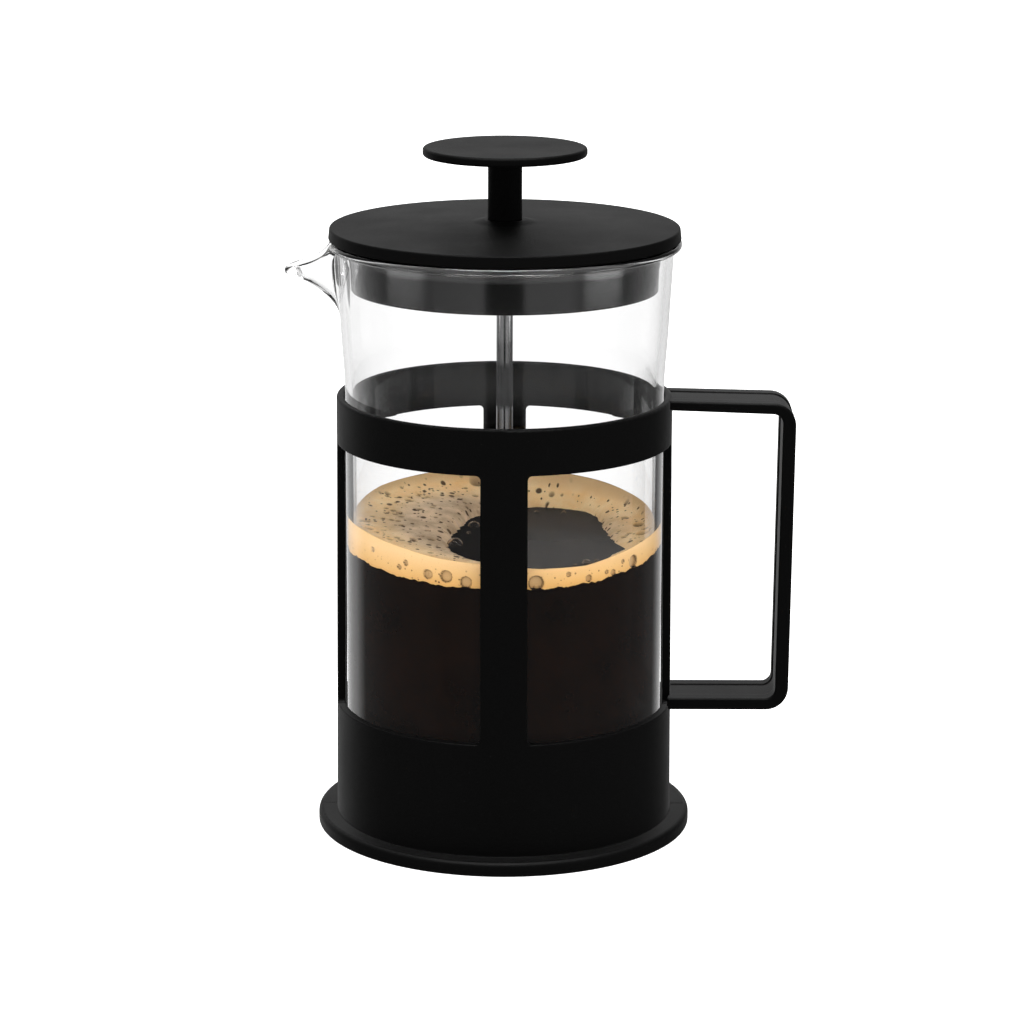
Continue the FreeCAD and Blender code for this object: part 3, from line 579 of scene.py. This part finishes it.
def make_crema(material):
    """Foam lying on the coffee and climbing the glass, with pits, and bubbles pressed against the glass."""
    rng = np.random.default_rng(4)
    unit, near, far = crema_spokes()
    top, top_hollow = crema_top(unit, near, far, rng)
    wall, wall_hollow = crema_wall(top[-1], rng)
    under = np.column_stack([
        HOLE_CENTRE + unit * (near + 0.8)[:, None], np.full(CREMA_AROUND, COFFEE_TOP - 1.2)])
    points, faces = skin(np.vstack([top, wall, under[None]]), closed=True)
    crema = new_object("crema", points, faces, material, "beaker")
    # The painted shade of the hollows goes to the material as an attribute.
    hollow_shade = np.vstack([top_hollow, wall_hollow, np.zeros((1, CREMA_AROUND))])
    crema.data.attributes.new("hollow_shade", "FLOAT", "POINT").data.foreach_set("value", hollow_shade.ravel())


def make_floating_bubbles(material):
    """Thin domes on the coffee, along the hole's edge."""
    dome = arc(0.0, 0.0, 1.0, 0.0, 84.0, 12)
    shell = np.vstack([dome, dome[::-1] * 0.93])
    for number, (x, y, radius) in enumerate(FLOATING_BUBBLES):
        rings = turned(shell * radius, even_angles(40)) + (x, y, COFFEE_TOP - 0.1 * radius)
        points, faces = skin(rings, closed=True)
        new_object(f"coffee_bubble_{number + 1}", points, faces, material, "beaker")


# ---------------------------------------------------------------- metal pieces

def make_rod(material):
    """The rod with its thread at both ends."""
    pitch, depth, tip_radius = 0.8, 0.24, 2.05
    (_, _, low), (rod_radius, _, high) = box_in_mm("plunger_rod")
    threads = ((low + 0.6, low + 8.4), (high - 13.0, high - 0.6))
    heights = np.concatenate([
        [low], np.arange(low + 0.5, low + 9.0, 0.1), np.linspace(low + 11.0, high - 15.0, 24),
        np.arange(high - 13.4, high - 0.4, 0.1), [high]])
    rings = []
    for height in heights:
        ring = []
        for angle in even_angles(48):
            radius = rod_radius if low + 0.4 < height < high - 0.4 else tip_radius
            if any(start < height < end for start, end in threads):
                phase = (height / pitch - angle / (2 * math.pi)) % 1.0
                radius -= depth * (1.0 - abs(2.0 * phase - 1.0))
            ring.append((radius * math.cos(angle), radius * math.sin(angle), height))
        rings.append(ring)
    points, faces = skin(rings, ((0.0, 0.0, low), (0.0, 0.0, high)))
    rod = new_object("threaded_rod", points, faces, material, "plunger")
    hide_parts("plunger_rod")


def make_spring(material):
    """The rim spring's wire, coiled all the way round the plate."""
    coil, wire, turns, steps, sides = 1.8, 0.34, 96, 14, 7
    (_, _, low), (outer_radius, _, high) = box_in_mm("rim_spring", digits=4)
    ring = round(outer_radius, 1) - 2.2
    middle = np.array([0.0, 0.0, round((low + high) / 2, 2)])
    upward = np.array([0.0, 0.0, 1.0])
    centres, normals = [], []
    total = turns * steps
    for step in range(total):
        around = 2 * math.pi * step / total
        twist = turns * around
        outward = np.array([math.cos(around), math.sin(around), 0.0])
        spoke = outward * math.cos(twist) + upward * math.sin(twist)
        centres.append(outward * ring + middle + spoke * coil)
        normals.append(spoke)
    centres, normals = np.array(centres), np.array(normals)
    tangents = np.roll(centres, -1, 0) - np.roll(centres, 1, 0)
    tangents /= np.linalg.norm(tangents, axis=1)[:, None]
    binormals = np.cross(tangents, normals)
    binormals /= np.linalg.norm(binormals, axis=1)[:, None]
    rings = []
    for centre, normal, binormal in zip(centres, normals, binormals):
        spokes = [math.cos(a) * normal + math.sin(a) * binormal for a in even_angles(sides)]
        rings.append([centre + wire * spoke for spoke in spokes])
    points, faces = skin(rings, closed=True)
    spring = new_object("coiled_spring", points, faces, material, "filter")
    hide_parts("rim_spring")


# ---------------------------------------------------------------- studio

# The studio's strength where it is seen, for light on matt surfaces outside and inside the glass, in
# reflections of reflections, and for light that turns once inside the glass.
BACKDROP, AMBIENT, INSIDE, INNER_GLINTS, GLASS_SIDES = 1.17, 1.0, 2.9, 0.75, 0.95
# Its strength high overhead, and the share of it left in reflections seen through the glass from the sides.
OVERHEAD, BEHIND_GLASS = 0.5, 0.4
# What reflections see round the studio: (degrees from the camera side, strength).
STUDIO_RING = (
    (-180.0, 1.0), (-136.0, 0.8), (-122.0, 0.16), (-48.5, 0.15), (-46.5, 0.13), (-15.0, 0.155),
    (-12.5, 0.006), (12.5, 0.006), (15.0, 0.155), (42.0, 0.155), (44.0, 0.17), (140.0, 0.14),
    (154.0, 0.6), (180.0, 1.0),
)
# Where these begin and are complete: the glass's bright sides and the dimmed sides behind glass in radians
# from the camera side, and steep and overhead directions by their rise.
BRIGHT_SIDES = np.radians((95.0, 125.0))
DIMMED_SIDES = np.radians((47.0, 62.0))
STEEP = (0.28, 0.42)
OVERHEAD_RISE = (0.2, 0.6)
# Light that has passed both walls of the glass has crossed its surface four times, give or take this.
BOTH_WALLS, CROSSING_SPAN = 4.0, 1.5

FLOOR_SIZE = 6.0
CAMERA_PLACE = (0.00163, -1.1, 0.372)
CAMERA_TILT, CAMERA_ROLL = 76.04, -0.16
LENS, SENSOR = 129.06, 36.0


def softbox(name, place, target, size, power, glossy=True):
    light = bpy.data.lights.new(name, "AREA")
    light.shape = "RECTANGLE"
    light.size, light.size_y = size
    light.energy = power
    thing = bpy.data.objects.new(name, light)
    bpy.context.scene.collection.objects.link(thing)
    thing.location = place
    direction = Vector(target) - thing.location
    thing.rotation_euler = direction.to_track_quat("-Z", "Y").to_euler()
    thing.visible_camera = False
    thing.visible_glossy = glossy
    return thing


def make_floor():
    """White paper with light of its own, so that it meets the backdrop without an edge."""
    size = FLOOR_SIZE
    mesh = bpy.data.meshes.new("floor")
    corners = [(-size, -size, 0), (size, -size, 0), (size, size, 0), (-size, size, 0)]
    mesh.from_pydata(corners, [], [(0, 1, 2, 3)])
    floor = bpy.data.objects.new("floor", mesh)
    bpy.context.scene.collection.objects.link(floor)
    white = (1.0, 1.0, 1.0, 1.0)
    paper = Surface("white_paper", (0.86, 0.86, 0.86), 0.9, Emission_Strength=1.0, Emission_Color=white)
    mesh.materials.append(paper.material)
    floor.visible_glossy = False
    floor.visible_transmission = False


def studio_ring(nodes, azimuth):
    """The strength of the ring at an azimuth from the camera side, in radians."""
    turn = nodes.spread(azimuth, -math.pi, math.pi)
    ramp = nodes.add("ValToRGB", {"Fac": turn})
    stops = ramp.color_ramp.elements
    stops.remove(stops[1])
    for number, (degrees, strength) in enumerate(STUDIO_RING):
        place = degrees / 360.0 + 0.5
        stop = stops[0] if number == 0 else stops.new(place)
        stop.position = place
        stop.color = (strength, strength, strength, 1.0)
    return ramp.outputs["Color"]


def make_world():
    """A white studio: full white where it is seen directly or through glass, and for diffuse light; dimmer in
    reflections, with a dark gap between the softboxes where the photographer stands."""
    world = bpy.data.worlds.new("studio")
    bpy.context.scene.world = world
    world.use_nodes = True
    nodes = Nodes(world.node_tree)
    background = world.node_tree.nodes["Background"]
    background.inputs["Color"].default_value = (1.0, 1.0, 1.0, 1.0)

    direction = nodes.add("TexCoord").outputs["Generated"]
    x, y, z = nodes.add("SeparateXYZ", {0: direction}).outputs
    azimuth = nodes.math("ARCTAN2", x, nodes.math("MULTIPLY", y, -1.0))
    turned_away = nodes.math("ABSOLUTE", azimuth)
    path = nodes.add("LightPath").outputs

    # Light that turns once inside one thickness of glass comes from the bright sides.
    crossings = path["Transmission Depth"]
    near_both = {0: crossings, 1: BOTH_WALLS, 2: CROSSING_SPAN}
    through_both = nodes.add("Math", near_both, operation="COMPARE").outputs[0]
    in_one_wall = nodes.math("SUBTRACT", nodes.math("MINIMUM", crossings, 1.0), through_both)
    sideways = nodes.spread(turned_away, *BRIGHT_SIDES)
    steepness = nodes.spread(nodes.math("ABSOLUTE", z), *STEEP)
    open_side = nodes.math("MULTIPLY", in_one_wall, nodes.math("MAXIMUM", sideways, steepness))
    lit = nodes.spread(open_side, 0.0, 1.0, studio_ring(nodes, azimuth), GLASS_SIDES)

    # What is mirrored behind the glass is dimmed at the sides, and reflections of reflections are even.
    behind = nodes.math("MULTIPLY", through_both, nodes.spread(turned_away, *DIMMED_SIDES))
    dimmed = nodes.math("MULTIPLY", lit, nodes.spread(behind, 0.0, 1.0, 1.0, BEHIND_GLASS))
    reflections = path["Glossy Depth"]
    reflected = nodes.spread(nodes.math("MINIMUM", reflections, 2.0), 1.0, 2.0, dimmed, INNER_GLINTS)

    scattered = nodes.spread(path["Is Transmission Ray"], 0.0, 1.0, AMBIENT, INSIDE)
    backdrop = nodes.spread(z, *OVERHEAD_RISE, BACKDROP, OVERHEAD)
    diffuse = nodes.math("MINIMUM", path["Diffuse Depth"], 1.0)
    seen = nodes.spread(diffuse, 0.0, 1.0, backdrop, scattered)
    strength = nodes.spread(nodes.math("MINIMUM", reflections, 1.0), 0.0, 1.0, seen, reflected)
    world.node_tree.links.new(strength, background.inputs["Strength"])


def make_camera():
    data = bpy.data.cameras.new("camera")
    data.lens = LENS
    data.sensor_width = SENSOR
    camera = bpy.data.objects.new("camera", data)
    camera.location = CAMERA_PLACE
    camera.rotation_euler = (math.radians(CAMERA_TILT), math.radians(CAMERA_ROLL), 0.0)
    bpy.context.scene.collection.objects.link(camera)
    bpy.context.scene.camera = camera


# ---------------------------------------------------------------- build

BLACK = (0.0018, 0.0018, 0.0018)
holder_black = moulded_plastic(
    "holder_black_matte", BLACK, roughness=0.5, grain_depth=0.05, specular=0.075, soft_edge=0.7)
lid_black = moulded_plastic(
    "lid_black_matte", (0.0022, 0.0022, 0.0022), roughness=0.52, grain_depth=0.06, specular=0.036,
    soft_edge=0.5)
collar_black = moulded_plastic(
    "collar_black_satin", (0.0003, 0.0003, 0.0003), roughness=0.05, grain_depth=0.02, specular=1.0,
    soft_edge=0.3, coat=0.6, ior=1.9)
bushing_black = moulded_plastic("bushing_black_satin", BLACK, roughness=0.4, grain_depth=0.02, specular=0.4)
rod_metal = worked_metal(
    "rod_polished", (0.86, 0.86, 0.87), (0.96, 0.96, 0.96), roughness=0.06,
    stretch=(0.4, 0.4, 3.0), line_depth=0.01)
sheet_metal = worked_metal(
    "filter_sheet_steel", (0.5, 0.5, 0.5), (0.66, 0.655, 0.65), roughness=0.24,
    stretch=(2.5, 0.3, 0.3), line_depth=0.02)
wire_metal = worked_metal(
    "spring_wire_steel", (0.55, 0.55, 0.55), (0.7, 0.7, 0.7), roughness=0.18,
    stretch=(1.0, 1.0, 1.0), line_depth=0.01)
brass = worked_metal(
    "insert_brass_turned", (0.5, 0.33, 0.12), (0.72, 0.5, 0.2), roughness=0.25,
    stretch=(0.4, 0.4, 4.0), line_depth=0.02)

give(holder_black, "holder_frame", "handle")
give(lid_black, "lid_cap", "knob")
give(collar_black, "lid_collar")
give(bushing_black, "lid_bushing")
give(sheet_metal, "rod_stop_collar", "spiral_plate", "cross_plate", "cross_plate_nut", "mesh_eyelet")
give(woven_screen(), "mesh_screen")
give(brass, "knob_insert")
# The glass doesn't mirror the holder, so its edges stay clear.
for name in ("holder_frame", "handle"):
    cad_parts[name].visible_glossy = False

make_beaker()
make_coffee(coffee_liquid())
make_crema(crema_foam())
make_floating_bubbles(bubble_film())
make_rod(rod_metal)
make_spring(wire_metal)

make_floor()
make_world()
make_camera()
middle, side_size = (0.0, 0.0, 0.1), (0.7, 1.1)
softbox("left_box", (-1.0, -0.25, 0.45), middle, side_size, power=2.0, glossy=False)
softbox("right_box", (1.0, -0.25, 0.45), middle, side_size, power=3.0, glossy=False)
softbox("back_box", (0.0, 0.9, 0.75), (0.0, 0.0, 0.19), (1.4, 0.7), power=0.5)
top_box = softbox("top_box", (0.0, -0.1, 1.3), middle, (1.0, 1.0), power=40.0)
top_box.visible_diffuse = False
bpy.context.scene.view_settings.view_transform = "Standard"
